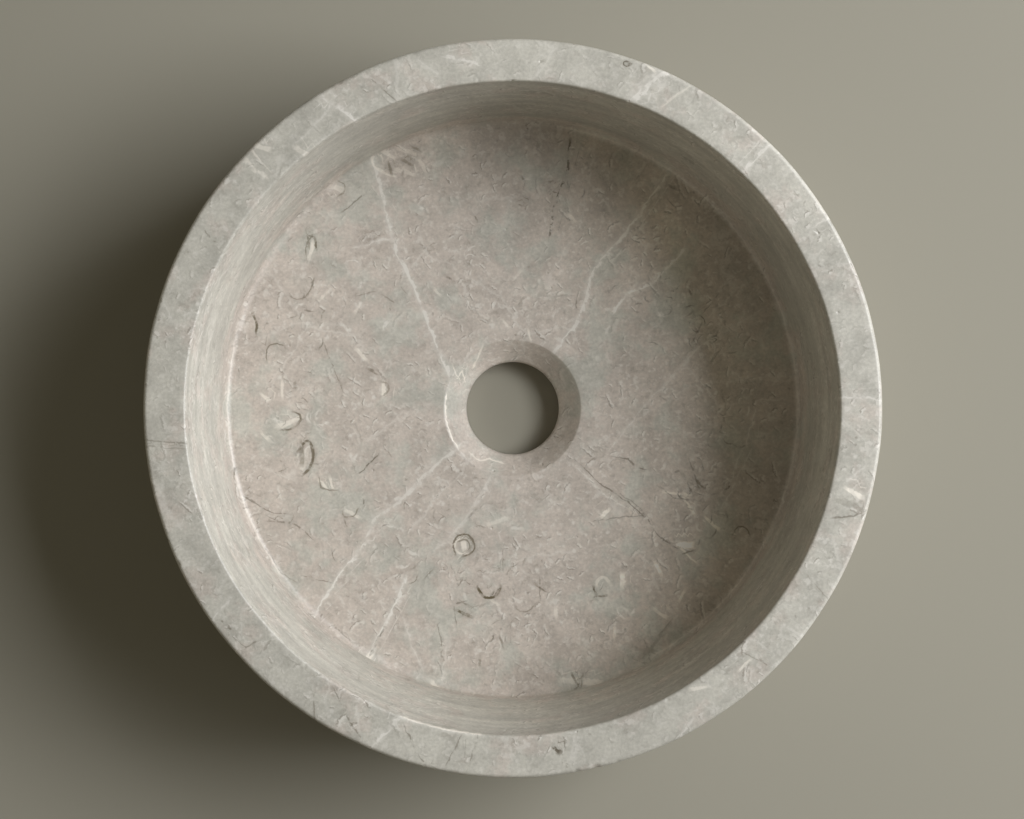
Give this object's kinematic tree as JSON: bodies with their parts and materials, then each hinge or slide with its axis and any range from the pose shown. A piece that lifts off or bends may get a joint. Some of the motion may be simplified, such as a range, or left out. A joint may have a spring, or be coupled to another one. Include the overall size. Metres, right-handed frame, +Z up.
{
  "type": "vessel washbasin",
  "caption": "Round straight-sided stone bowl that stands on a counter, with a flat rim, a floor that falls gently to the middle and a countersunk open drain hole.",
  "frame": {"origin": "centre of the base, on the axis of the drain hole, in the plane that stands on the counter", "axes": "+Z up along the axis of the bowl and the drain hole; X and Y are any two horizontal directions at a right angle"},
  "size_m": [0.3499, 0.35, 0.12],
  "materials": {
    "stone": "honed grey-beige fossil limestone with pale calcite veins, shell fragments and fine dark specks"
  },
  "bodies": {
    "root": {"basin_body": "stone"}
  },
  "joints": []
}
